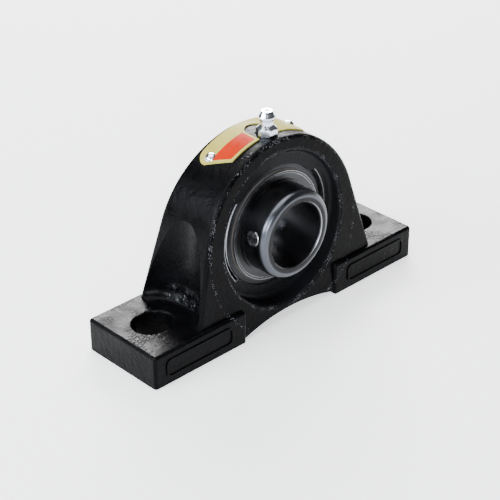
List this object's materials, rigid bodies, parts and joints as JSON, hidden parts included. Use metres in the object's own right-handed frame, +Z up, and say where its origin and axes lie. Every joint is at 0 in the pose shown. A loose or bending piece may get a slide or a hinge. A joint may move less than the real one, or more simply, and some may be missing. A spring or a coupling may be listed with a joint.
{
  "type": "pillow block bearing",
  "caption": "Two-bolt cast pillow block with a self-aligning set-screw ball bearing insert, grease fitting, slinger seals and a bare nameplate.",
  "frame": {"origin": "centre of the two bolt slots, in the plane of the base", "axes": "+X along the base from slot to slot, +Y along the shaft away from the set screw collar, +Z up"},
  "size_m": [0.1352, 0.0388, 0.0812],
  "materials": {
    "black_paint": "semi-gloss black paint over rough sand-cast iron",
    "nameplate": "cream and orange printed thin sheet metal, no text",
    "zinc_plate": "bright zinc plating",
    "black_oxide": "black oxide on turned steel, satin",
    "bearing_steel": "ground bearing steel",
    "ball_steel": "polished chrome steel",
    "cage_plastic": "natural moulded nylon",
    "seal_steel": "dark phosphated pressed sheet",
    "felt": "grease-soaked felt",
    "screw_steel": "black alloy steel",
    "spring_steel": "bright spring wire"
  },
  "bodies": {
    "housing": {"housing": "black_paint", "nameplate": "nameplate", "nameplate_screw_left": "zinc_plate", "nameplate_screw_right": "zinc_plate", "grease_fitting_body": "zinc_plate", "grease_fitting_spring": "spring_steel"},
    "locking_pin": {"locking_pin": "bearing_steel"},
    "outer_ring": {"outer_ring": "bearing_steel", "front_seal_shell": "seal_steel", "back_seal_shell": "seal_steel", "front_seal_felt": "felt", "back_seal_felt": "felt"},
    "inner_ring": {"inner_ring": "black_oxide", "front_slinger": "black_oxide", "back_slinger": "black_oxide"},
    "ball_cage": {"ball_cage": "cage_plastic"},
    "grease_fitting_ball": {"grease_fitting_ball": "ball_steel"},
    "set_screw_1": {"set_screw_1": "screw_steel"},
    "set_screw_2": {"set_screw_2": "screw_steel"},
    "ball_1": {"ball_1": "ball_steel"},
    "ball_2": {"ball_2": "ball_steel"},
    "ball_3": {"ball_3": "ball_steel"},
    "ball_4": {"ball_4": "ball_steel"},
    "ball_5": {"ball_5": "ball_steel"},
    "ball_6": {"ball_6": "ball_steel"},
    "ball_7": {"ball_7": "ball_steel"},
    "ball_8": {"ball_8": "ball_steel"},
    "ball_9": {"ball_9": "ball_steel"}
  },
  "joints": [
    {"name": "align_yaw", "type": "hinge", "parent": "housing", "child": "locking_pin", "pos_m": [0, 0, 0.0365], "axis": [0, 0, 1], "range_deg": [-2, 2]},
    {"name": "align_pitch", "type": "hinge", "parent": "locking_pin", "child": "outer_ring", "pos_m": [0, 0, 0.0365], "axis": [1, 0, 0], "range_deg": [-2, 2]},
    {"name": "shaft_spin", "type": "hinge", "parent": "outer_ring", "child": "inner_ring", "pos_m": [0, 0, 0.0365], "axis": [0, 1, 0], "continuous": true},
    {"name": "cage_spin", "type": "hinge", "parent": "outer_ring", "child": "ball_cage", "pos_m": [0, 0, 0.0365], "axis": [0, 1, 0], "continuous": true},
    {"name": "ball_1_roll", "type": "hinge", "parent": "ball_cage", "child": "ball_1", "pos_m": [0, 0, 0.05575], "axis": [0, 1, 0], "continuous": true},
    {"name": "ball_2_roll", "type": "hinge", "parent": "ball_cage", "child": "ball_2", "pos_m": [-0.01237, 0, 0.05125], "axis": [0, 1, 0], "continuous": true},
    {"name": "ball_3_roll", "type": "hinge", "parent": "ball_cage", "child": "ball_3", "pos_m": [-0.01896, 0, 0.03984], "axis": [0, 1, 0], "continuous": true},
    {"name": "ball_4_roll", "type": "hinge", "parent": "ball_cage", "child": "ball_4", "pos_m": [-0.01667, 0, 0.02687], "axis": [0, 1, 0], "continuous": true},
    {"name": "ball_5_roll", "type": "hinge", "parent": "ball_cage", "child": "ball_5", "pos_m": [-0.00658, 0, 0.01841], "axis": [0, 1, 0], "continuous": true},
    {"name": "ball_6_roll", "type": "hinge", "parent": "ball_cage", "child": "ball_6", "pos_m": [0.00658, 0, 0.01841], "axis": [0, 1, 0], "continuous": true},
    {"name": "ball_7_roll", "type": "hinge", "parent": "ball_cage", "child": "ball_7", "pos_m": [0.01667, 0, 0.02687], "axis": [0, 1, 0], "continuous": true},
    {"name": "ball_8_roll", "type": "hinge", "parent": "ball_cage", "child": "ball_8", "pos_m": [0.01896, 0, 0.03984], "axis": [0, 1, 0], "continuous": true},
    {"name": "ball_9_roll", "type": "hinge", "parent": "ball_cage", "child": "ball_9", "pos_m": [0.01237, 0, 0.05125], "axis": [0, 1, 0], "continuous": true},
    {"name": "set_screw_1_travel", "type": "slide", "parent": "inner_ring", "child": "set_screw_1", "axis": [-0.9848, 0, 0.1736], "range_m": [-0.00025, 0.0025]},
    {"name": "set_screw_2_travel", "type": "slide", "parent": "inner_ring", "child": "set_screw_2", "axis": [0.6428, 0, 0.766], "range_m": [-0.00025, 0.0025]},
    {"name": "check_ball_press", "type": "slide", "parent": "housing", "child": "grease_fitting_ball", "axis": [0, 0, -1], "range_m": [0, 0.0008], "stiffness_N_per_m": 300, "springref_m": -0.0005, "deforming": ["grease_fitting_spring"]}
  ],
  "couplings": [
    {"joint": "cage_spin", "follows": "shaft_spin", "ratio": 0.39688},
    {"joint": "ball_1_roll", "follows": "shaft_spin", "ratio": -2.3213},
    {"joint": "ball_2_roll", "follows": "shaft_spin", "ratio": -2.3213},
    {"joint": "ball_3_roll", "follows": "shaft_spin", "ratio": -2.3213},
    {"joint": "ball_4_roll", "follows": "shaft_spin", "ratio": -2.3213},
    {"joint": "ball_5_roll", "follows": "shaft_spin", "ratio": -2.3213},
    {"joint": "ball_6_roll", "follows": "shaft_spin", "ratio": -2.3213},
    {"joint": "ball_7_roll", "follows": "shaft_spin", "ratio": -2.3213},
    {"joint": "ball_8_roll", "follows": "shaft_spin", "ratio": -2.3213},
    {"joint": "ball_9_roll", "follows": "shaft_spin", "ratio": -2.3213}
  ]
}
